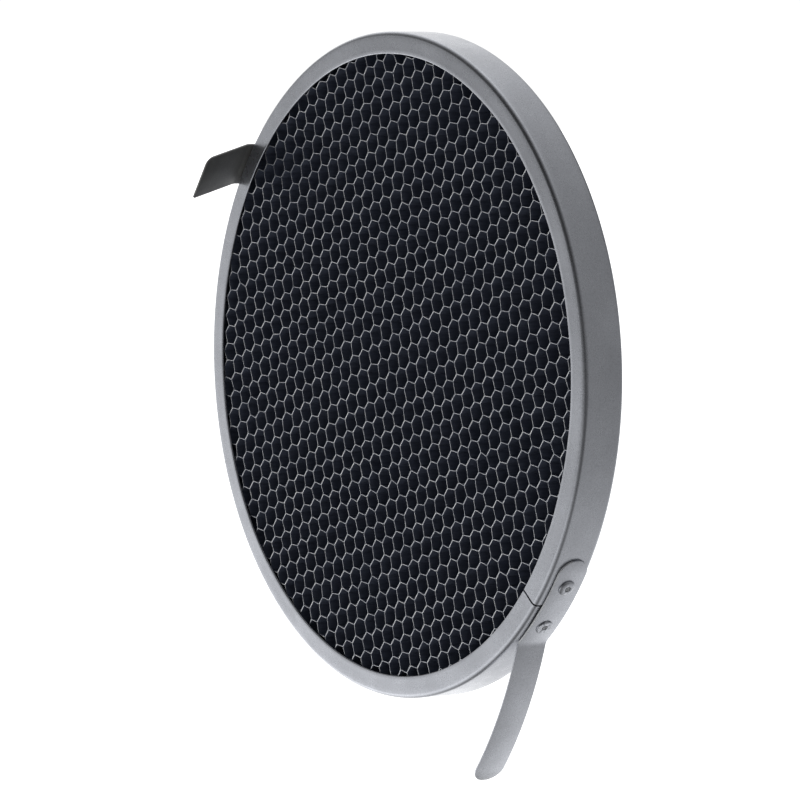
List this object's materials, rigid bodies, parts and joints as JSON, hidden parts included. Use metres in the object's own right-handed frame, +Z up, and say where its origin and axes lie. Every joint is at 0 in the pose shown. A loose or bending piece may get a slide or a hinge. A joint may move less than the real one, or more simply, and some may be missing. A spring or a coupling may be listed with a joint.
{
  "type": "honeycomb light grid",
  "caption": "Round honeycomb light grid: corrugated foil core in a rolled channel band, with a riveted spring strap and a finger tab.",
  "frame": {"origin": "centre of the grid on its axis, in the plane of the band's rear rim, where it seats in the reflector", "axes": "+Y along the grid's axis from its front face to its rear rim, +Z up, +X to the right as seen from the front"},
  "size_m": [0.18, 0.0299, 0.1984],
  "materials": {
    "band_paint": "satin",
    "foil_black": "matte",
    "strap_paint": "satin",
    "rivet_paint": "satin",
    "mandrel_steel": "matte",
    "tab_black": "satin"
  },
  "bodies": {
    "grid": {"rim_band": "band_paint", "core_strips_01": "foil_black", "core_strips_02": "foil_black", "core_strips_03": "foil_black", "core_strips_04": "foil_black", "core_strips_05": "foil_black", "core_strips_06": "foil_black", "core_strips_07": "foil_black", "core_strips_08": "foil_black", "core_strips_09": "foil_black", "core_strips_10": "foil_black", "core_strips_11": "foil_black", "core_strips_12": "foil_black", "core_strips_13": "foil_black", "core_strips_14": "foil_black", "core_strips_15": "foil_black", "core_strips_16": "foil_black", "core_strips_17": "foil_black", "core_strips_18": "foil_black", "core_strips_19": "foil_black", "core_strips_20": "foil_black", "core_strips_21": "foil_black", "core_strips_22": "foil_black", "core_strips_23": "foil_black", "core_strips_24": "foil_black", "core_strips_25": "foil_black", "core_strips_26": "foil_black", "core_strips_27": "foil_black", "core_strips_28": "foil_black", "core_strips_29": "foil_black", "core_strips_30": "foil_black", "core_strips_31": "foil_black", "core_strips_32": "foil_black", "core_strips_33": "foil_black", "strap_foot": "strap_paint", "upper_rivet": "rivet_paint", "lower_rivet": "rivet_paint", "upper_mandrel": "mandrel_steel", "lower_mandrel": "mandrel_steel", "finger_tab": "tab_black", "tab_rivets": "rivet_paint", "tab_mandrels": "mandrel_steel"},
    "arm": {"spring_arm": "strap_paint"}
  },
  "joints": [
    {"name": "arm_flex", "type": "hinge", "parent": "grid", "child": "arm", "pos_m": [0.0573, -0.0055, -0.06976], "axis": [0, 1, 0], "range_deg": [0, 28], "stiffness_Nm_per_rad": 1.3}
  ]
}
